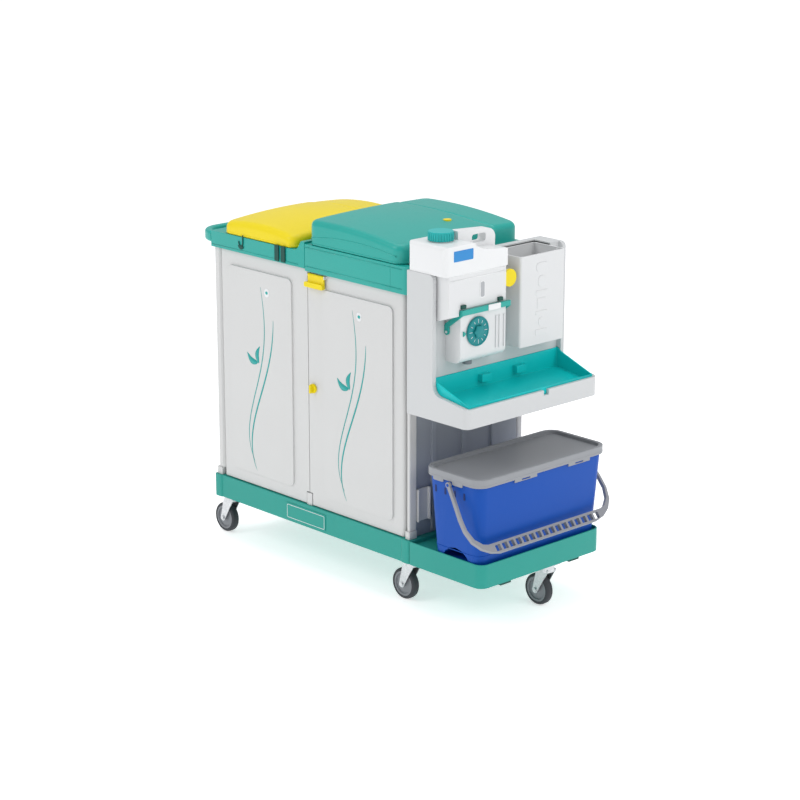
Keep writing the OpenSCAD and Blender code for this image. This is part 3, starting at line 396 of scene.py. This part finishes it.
for door, start in (("door_left", 0.145), ("door_right", 0.150)):
    low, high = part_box(door)
    face_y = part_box("door_left")[0].y - 0.00005
    foot_x, foot_z = low.x + start, low.z + 0.075
    stem(door + "_stem_1", door, foot_z + 0.01, foot_z + 0.60,
         foot_x + np.array([0.020, -0.004, 0.012, 0.050, 0.076, 0.074, 0.062]), 0.0036, face_y)
    stem(door + "_stem_2", door, foot_z - 0.02, foot_z + 0.50,
         foot_x + np.array([0.030, 0.008, 0.020, 0.056, 0.090, 0.112, 0.122]), 0.0060, face_y)
    knot = (foot_x + 0.042, foot_z + 0.345)
    leaf(door + "_leaf_1", door, knot, (knot[0] - 0.052, knot[1] + 0.028), 0.021, face_y)
    leaf(door + "_leaf_2", door, (knot[0] + 0.004, knot[1]), (knot[0] + 0.012, knot[1] + 0.058),
         0.018, face_y)
    badge_x, badge_z = foot_x + 0.092, foot_z + 0.585
    fit(pad(door + "_badge", (badge_x - 0.011, badge_z - 0.014), (badge_x + 0.011, badge_z + 0.014),
            0.0105, (0, 2), face_y + 0.0001, -1, 0.0006, 0.0002), white_line, door)
    fit(pad(door + "_badge_mark", (badge_x - 0.006, badge_z - 0.005), (badge_x + 0.006, badge_z + 0.005),
            0.0048, (0, 2), face_y - 0.0005, -1, 0.0003, 0.0001), film, door)

# ---------------------------------------------------------------- latch and lock
# A hinged yellow latch on the right door's top edge, and a turn knob with a cam behind it.
# Both are moulded in yellow plastic, and so are the valve's knob and the green lid's button.
yellow = moulded("yellow plastic", (0.84, 0.665, 0.006), 0.38)
dress(yellow, "latch", "lock_knob", "valve_knob", "lid_button")
soften(0.0012, "latch", "lock_knob", "valve_knob", "lid_button")

# ---------------------------------------------------------------- rims
# The left rim and its push handle are one teal moulding. The right rim is deeper, takes a
# corner cover at each end and holds the white tub under the green lid.
white = moulded("white plastic", (0.80, 0.805, 0.81), 0.34, grain=0.05, spread=0.015, coat=0.1)
dress(teal, "handle_rim", "rim_right", "rim_corners")
dress(white, "top_tub")
soften(0.003, "handle_rim", "rim_right")
soften(0.0014, "rim_corners", "top_tub", "rim_clips")

# raised lines along each rim's front: the left one's starts past its push handle
for node, past_handle, shoulder, drops in (("rim_right", 0.0, 0.0, (0.010, 0.070)),
                                           ("handle_rim", 0.083, 0.032, (0.044,))):
    low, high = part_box(node)
    line = np.array([(low.x + past_handle + 0.004, low.y), (high.x - 0.030, low.y)])
    for number, drop in enumerate(drops):
        fit(strip(f"{node}_line_{number}", stand(line, (0, 1), high.z - shoulder - drop), (0, 0, 1),
                  bead(0.0016, 0.0016), closed=False), teal, "chassis")

# hook on the left rim's side, bent from one dark rod
rim_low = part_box("handle_rim")[0]
rod_r = 0.0018
hook_x, hook_z, hook_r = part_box("rim_clips")[0].x + 0.014, rim_low.z + 0.034, 0.010
bend = np.linspace(pi, 1.9 * pi, 16)
curl = np.column_stack([hook_x + hook_r * np.cos(bend), hook_z + hook_r * np.sin(bend)])
hook = np.concatenate([[(hook_x - hook_r, hook_z + 0.004)], curl, [(hook_x + hook_r, hook_z + 0.026)]])
fit(strip("rim_hook", stand(hook, (0, 2), rim_low.y - rod_r), (0, 1, 0), bead(rod_r, rod_r), closed=False),
    dark_green, "chassis")

# ---------------------------------------------------------------- lids
# Two crowned covers, hinged at the back: yellow over the bag, green over the tub. Each is a
# thin shell with a wide edge round, and a pressed line runs across it near the back.
lid_wall = 0.0032


def edge_samples(low, high, round_r, inner):
    """Positions from low to high, close together over the edge rounds: a quarter sine at each end."""
    turn = round_r * (1 - np.cos(np.linspace(0, pi / 2, 9)))
    return np.concatenate([low + turn, np.linspace(low + round_r, high - round_r, inner)[1:-1],
                           (high - turn)[::-1]])


def cover(name, low, high, corner_r, round_r, crown, skirt_z, extra_y=(), inner=44):
    """A cover on a grid over its footprint. Each grid square round a corner is turned onto an
    arc, so that rows bend round it evenly. Height is the crown less a quarter round of round_r
    at the outline, and the grid's outer rows run down to the skirt's levels."""
    xs = edge_samples(low[0], high[0], round_r, inner)
    ys = np.sort(np.concatenate([edge_samples(low[1], high[1], round_r, inner), extra_y]))
    layers = len(skirt_z)
    xs = np.concatenate([[xs[0]] * layers, xs, [xs[-1]] * layers])
    ys = np.concatenate([[ys[0]] * layers, ys, [ys[-1]] * layers])
    x, y = np.meshgrid(xs, ys, indexing="ij")
    from_x, from_y = np.minimum(x - low[0], high[0] - x), np.minimum(y - low[1], high[1] - y)
    inset = np.minimum(from_x, from_y)
    past_x, past_y = corner_r - from_x, corner_r - from_y
    ring = np.maximum(np.maximum(past_x, past_y), 1e-9)
    way = np.where(past_x >= past_y, past_y, 2 * ring - past_x)
    angle = way / (2 * ring) * pi / 2
    corner = (past_x > 0) & (past_y > 0)
    side_x, side_y = np.sign(x - (low[0] + high[0]) / 2), np.sign(y - (low[1] + high[1]) / 2)
    x = np.where(corner, x + side_x * (ring * np.cos(angle) - past_x), x)
    y = np.where(corner, y + side_y * (ring * np.sin(angle) - past_y), y)
    dip = round_r - np.sqrt(np.clip(round_r ** 2 - np.clip(round_r - inset, 0, None) ** 2, 0, None))
    z = crown(x, y) - dip
    row, column = np.arange(len(xs))[:, None], np.arange(len(ys))[None, :]
    depth = np.maximum(np.maximum(layers - row, row - (len(xs) - 1 - layers)),
                       np.maximum(layers - column, column - (len(ys) - 1 - layers)))
    edge = crown(x, y) - round_r
    for layer, part in enumerate(skirt_z, 1):
        z = np.where(depth == layer, low[2] + (edge - low[2]) * part, z)
    return surface(name, np.stack([x, y, z], -1))


def thicken(piece, thickness):
    """Gives a cover a wall of even thickness, measured inwards."""
    wall = piece.modifiers.new("wall", "SOLIDIFY")
    wall.thickness = thickness
    wall.offset = -1
    wall.use_rim = True


def dome(top, middle, side_r, long_r, line_y, line_depth=0.0036, line_w=0.005):
    """Height over the cover: two circles' falls from the crown's middle, and one pressed line
    across the cover at line_y, with a smooth bottom."""
    def height(x, y):
        fall = (x - middle[0]) ** 2 / (2 * side_r) + (y - middle[1]) ** 2 / (2 * long_r)
        line = line_depth * np.exp(-((y - line_y - 0.25 * (x - middle[0]) ** 2) / line_w) ** 2)
        step = 0.0025 / (1 + np.exp(-(y - line_y) / 0.003))
        return top - fall - line - step
    return height


def line_rows(y):
    """Extra rows of the cover's grid, close together about its pressed line."""
    return y + np.linspace(-0.016, 0.030, 24)


def knuckle(name, low_x, high_x, back, axis_y, axis_z, radius):
    """One hinge knuckle: a half-round section that runs straight to the cover's back wall,
    carried along X, with its end rings drawn in."""
    turn = np.linspace(-pi / 2, pi / 2, 14)
    section = np.concatenate([np.stack([axis_y + radius * np.cos(turn), axis_z + radius * np.sin(turn)], -1),
                              [(back, axis_z + radius), (back, axis_z - radius)]])
    middle = section.mean(0)
    rings = [(low_x, 0.93), (low_x + 0.0006, 1.0), (high_x - 0.0006, 1.0), (high_x, 0.93)]
    points = [np.column_stack([np.full(len(section), x), middle + (section - middle) * part])
              for x, part in rings]
    return surface(name, np.stack(points), wrap_v=True)


lid_back = 0.249
hinge_y = 0.257


def lid(node, material, corner_r, round_r, middle, side_r, long_r, line_y):
    """One lid in its node's box: the shell, two hinge knuckles and the line round its foot. The
    crown falls from middle along circles of side_r and long_r."""
    low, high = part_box(node)
    piece = cover(node + "_shell", (low.x, low.y, low.z), (high.x, lid_back, high.z), corner_r, round_r,
                  dome(high.z, middle, side_r, long_r, line_y), (0.9, 0.5, 0.1, 0.0),
                  extra_y=line_rows(line_y))
    thicken(piece, lid_wall)
    fit(piece, material, node)
    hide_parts(node)
    for number, start in enumerate((low.x + 0.060, high.x - 0.090)):
        fit(knuckle(f"{node}_knuckle_{number}", start, start + 0.030, lid_back - 0.002, hinge_y,
                    low.z + 0.0075, 0.0064), material, node)
    foot = stand(loop((low.x, low.y), (high.x, lid_back), corner_r), (0, 1), low.z + 0.004)
    fit(strip(node + "_foot", foot, (0, 0, 1), bead(0.0009, 0.003)), material, node)


low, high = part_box("lid_yellow")
lid("lid_yellow", yellow, corner_r=0.034, round_r=0.019,
    middle=((low.x + high.x) / 2, 0.040), side_r=0.950, long_r=2.500, line_y=0.100)
lid("lid_green", teal, corner_r=0.034, round_r=0.017,
    middle=(-0.018, 0.080), side_r=2.000, long_r=6.000, line_y=0.115)

# on the green lid, a raised line that arches over the front
low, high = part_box("lid_green")
arch_rise = 0.016
part = np.linspace(0, 1, 60)
line = np.column_stack([low.x + 0.02 + (high.x - low.x - 0.04) * part,
                        low.z + 0.022 + arch_rise * np.sin(pi * part) ** 0.8])
fit(strip("lid_green_arch", stand(line, (0, 2), low.y), (0, 1, 0), bead(0.0016, 0.0012), closed=False),
    teal, "lid_green")

# ---------------------------------------------------------------- console
# The dosing console: a white back with two cheeks and a deep lip, hung on the cabinet's end.
pale_grey = moulded("pale grey plastic", (0.70, 0.705, 0.71), 0.36, grain=0.05, spread=0.02)
deep_teal = moulded("deep teal plastic", (0.002, 0.56, 0.56), 0.32, grain=0.04)
dial_teal = moulded("dark teal plastic", (0.008, 0.235, 0.25), 0.38)
spout_grey = moulded("grey nylon", (0.20, 0.21, 0.225), 0.45)
# The console shell is the same white plastic as the rest of the console: its darker base colour here is painted
# shade on its cheeks and lip.
shade_darkened_white = moulded("white plastic darkened for shade", (0.60, 0.61, 0.615), 0.38, grain=0.06, spread=0.015)
unit_white = moulded("bright plastic", (0.72, 0.725, 0.73), 0.34, grain=0.05, spread=0.015)
dress(shade_darkened_white, "console_shell")
dress(unit_white, "dosing_housing", "dial_box")
dress(pale_grey, "holder_box")
dress(deep_teal, "tray")
dress(spout_grey, "outlet_spout")
soften(0.004, "console_shell")
soften(0.003, "dosing_housing", "dial_box")
soften(0.0022, "holder_box", "tray")
dress(teal, "pointer", "lever")
dress(dial_teal, "dial")
soften(0.001, "pointer", "dial", "lever", "lever_stops")
soft_grey = moulded("soft grey plastic", (0.42, 0.43, 0.45), 0.4, grain=0.05)

# band round the top of the dosing housing, the sight slot and its frame
low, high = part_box("dosing_housing")
slot_y, slot_z = low.y + 0.126, high.z - 0.0825
fit(pad("housing_slot_frame", (slot_y, slot_z), (slot_y + 0.022, slot_z + 0.052), 0.008, (1, 2),
        high.x, 1, 0.0012), white, "chassis")
fit(pad("housing_slot", (slot_y + 0.003, slot_z + 0.003), (slot_y + 0.019, slot_z + 0.049), 0.006, (1, 2),
        high.x + 0.001, 1, 0.0008), soft_grey, "chassis")
for number, drop in enumerate((0.0012, 0.0150)):
    line = np.array([(low.y + 0.003, high.z - drop), (low.y + 0.234, high.z - drop)])
    fit(strip(f"housing_band_{number}", stand(line, (1, 2), high.x), (1, 0, 0), bead(0.0014, 0.0012),
              closed=False), white, "chassis")

# lever: a white clip on its bar
low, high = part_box("lever")
fit(pad("lever_clip", (low.y + 0.108, high.z - 0.017), (low.y + 0.159, high.z + 0.001), 0.003, (1, 2),
        high.x - 0.0002, 1, 0.0022), white, "lever")

# dial: raised ring, twelve white marks and a lobed middle
low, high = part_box("dial")
dial_middle = ((low.y + high.y) / 2, (low.z + high.z) / 2)
dial_radius = (high.y - low.y) / 2


def circle(radius, steps=72, lobes=0, depth=0.0):
    """Points of a circle about the dial's middle, with its radius waving by depth for each lobe."""
    angle = np.linspace(0, 2 * pi, steps, endpoint=False)
    reach = radius * (1 + depth * np.cos(lobes * angle))
    return np.stack([dial_middle[0] + reach * np.cos(angle), dial_middle[1] + reach * np.sin(angle)], -1)


fit(strip("dial_ring", stand(circle(dial_radius - 0.004), (1, 2), high.x), (1, 0, 0), bead(0.0024, 0.0018)),
    dial_teal, "dial")
knob = [(0.0, 0.019), (0.004, 0.0188), (0.0066, 0.0176), (0.0075, 0.0155)]
fit(surface("dial_knob", np.stack([stand(circle(reach, 96, 6, 0.10), (1, 2), high.x + rise)
                                   for rise, reach in knob]), wrap_v=True), dial_teal, "dial")
for mark in range(12):
    angle = mark * pi / 6
    centre = np.array(dial_middle) + 0.031 * np.array([np.cos(angle), np.sin(angle)])
    across = np.array([-np.sin(angle), np.cos(angle)])
    along = np.array([np.cos(angle), np.sin(angle)])
    length = 0.0042 if mark % 3 else 0.0062
    corners = np.array([centre + across * 0.0008 * i + along * length * j
                        for i, j in ((1, 1), (-1, 1), (-1, -1), (1, -1))])
    points = np.stack([stand(corners, (1, 2), high.x - 0.0002), stand(corners, (1, 2), high.x + 0.0005)])
    fit(surface(f"dial_mark_{mark}", points, wrap_v=True), white_line, "dial")

# tray: a rolled rim along its front and sides
low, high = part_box("tray")
tray_front_z = high.z - 0.060
knee_x = low.x + 0.021
for side, y in (("door", low.y + 0.0018), ("far", high.y - 0.0018)):
    line = np.array([(high.x, tray_front_z), (knee_x, high.z - 0.012), (low.x + 0.002, high.z)])
    fit(strip("tray_rim_" + side, stand(line, (0, 2), y), (0, 1, 0), bead(0.0024, 0.0026), closed=False),
        deep_teal, "chassis")
line = np.array([(low.y + 0.002, tray_front_z), (high.y - 0.002, tray_front_z)])
fit(strip("tray_rim_front", stand(line, (1, 2), high.x - 0.0018), (1, 0, 0), bead(0.0024, 0.0026),
          closed=False), deep_teal, "chassis")

# holder: a rolled rim, and a column of plain raised shapes on its front
low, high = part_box("holder_box")
rim = stand(loop((low.x + 0.002, low.y + 0.0018), (high.x - 0.0018, high.y - 0.0018), 0.007), (0, 1),
            high.z)
fit(strip("holder_rim", rim, (0, 0, 1), bead(0.0024, 0.0018)), pale_grey, "chassis")
marks_y = (low.y + high.y) / 2 - 0.004
for number, (half_w, half_h, radius, at) in enumerate([
        (0.026, 0.014, 0.012, 0.240), (0.018, 0.018, 0.0178, 0.196), (0.026, 0.008, 0.003, 0.160),
        (0.020, 0.016, 0.004, 0.128), (0.026, 0.006, 0.005, 0.098), (0.014, 0.014, 0.0138, 0.070),
        (0.026, 0.009, 0.003, 0.038)]):
    z = low.z + at
    fit(pad(f"holder_mark_{number}", (marks_y - half_w, z - half_h), (marks_y + half_w, z + half_h), radius,
            (1, 2), high.x, 1, 0.0011), pale_grey, "chassis")

# ---------------------------------------------------------------- tank
# A blow-moulded tank of concentrate that lifts out of the console's well. It has a ribbed screw
# cap and a blue film label.
label_blue = moulded("blue film", (0.03, 0.25, 0.60), 0.3, grain=0.0)
dress(white, "tank")
cap_teal = moulded("cap teal plastic", (0.02, 0.46, 0.45), 0.38)
dress(cap_teal, "tank_cap")
dress(label_blue, "tank_label")
soften(0.006, "tank")
soften(0.0008, "tank_cap")

# ---------------------------------------------------------------- bucket
# A blue moulded bucket that stands on the platform, with a grey lid that lifts off and a bail
# that swings on its two ends and whose grip is a lattice.
blue = moulded("blue plastic", (0.000, 0.070, 0.40), 0.42, grain=0.04, spread=0.02, shine=0.2)
lid_grey = moulded("mid grey plastic", (0.30, 0.31, 0.33), 0.38)
bail_grey = moulded("warm grey plastic", (0.30, 0.305, 0.33), 0.42)
dress(blue, "bucket")
dress(lid_grey, "bucket_lid")
dress(bail_grey, "bail")
soften(0.0025, "bucket")
soften(0.002, "bucket_lid")
soften(0.0018, "bail")
low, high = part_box("bucket")
lid_low, lid_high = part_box("bucket_lid")
bucket_middle = (lid_low.x + lid_high.x) / 2 - 0.004
# The bucket's grooves are flat dark blue strips on its front: painted shade in the grooves.
groove_shade_blue = moulded("shaded blue", (0.001, 0.018, 0.12), 0.5, grain=0.0)
for number, shift in enumerate((-0.050, 0.030)):
    middle = bucket_middle + shift
    fit(pad(f"lid_tab_{number}", (middle - 0.022, lid_low.z), (middle + 0.022, lid_low.z + 0.016), 0.006,
            (0, 2), lid_low.y + 0.0030, -1, 0.0036, 0.0012), lid_grey, "bucket_lid")
    for letter, side in (("a", -0.020), ("b", 0.020)):
        fit(pad(f"bucket_groove_{number}_{letter}", (middle + side - 0.004, high.z - 0.060),
                (middle + side + 0.004, high.z - 0.010), 0.003, (0, 2), lid_low.y + 0.0115, -1, 0.0012, 0.0004),
            groove_shade_blue, "bucket")

# a step round the bucket above its foot, where the sides draw in by 16 mm over their height
step_rise = 0.034
step_inset = 0.008 + 0.016 * (1 - step_rise / (high.z - low.z)) - 0.0004
ring = stand(loop((lid_low.x + step_inset, lid_low.y + step_inset),
                  (lid_high.x - step_inset, lid_high.y - step_inset), 0.032), (0, 1), low.z + step_rise)
fit(strip("bucket_step_1", ring, (0, 0, 1), bead(0.0012, 0.0014)), blue, "bucket")

# two lines round the lid: one on its top face, one low on its skirt
for number, (draw, stick, drop) in enumerate(((0.006, 0.0022, 0.0), (0.0006, 0.0012, 0.0185))):
    ring = stand(loop((lid_low.x + draw, lid_low.y + draw), (lid_high.x - draw, lid_high.y - draw),
                      0.042 - draw), (0, 1), lid_high.z - drop)
    fit(strip(f"bucket_lid_line_{number}", ring, (0, 0, 1), bead(stick, 0.0012)), lid_grey, "bucket_lid")

# ---------------------------------------------------------------- casters
# Five swivel casters under the base: zinc-plated steel plates and forks, grey nylon hubs and soft
# grey tyres, each wheel held by one axle bolt.
rubber = moulded("grey rubber", (0.045, 0.048, 0.055), 0.6, grain=0.3)
hub_grey = moulded("pale nylon", (0.24, 0.25, 0.27), 0.4)
for number in range(1, 6):
    dress(zinc, f"fork_{number}")
    dress(hub_grey, f"hub_{number}")
    dress(rubber, f"tyre_{number}")
    soften(0.0008, f"fork_{number}")
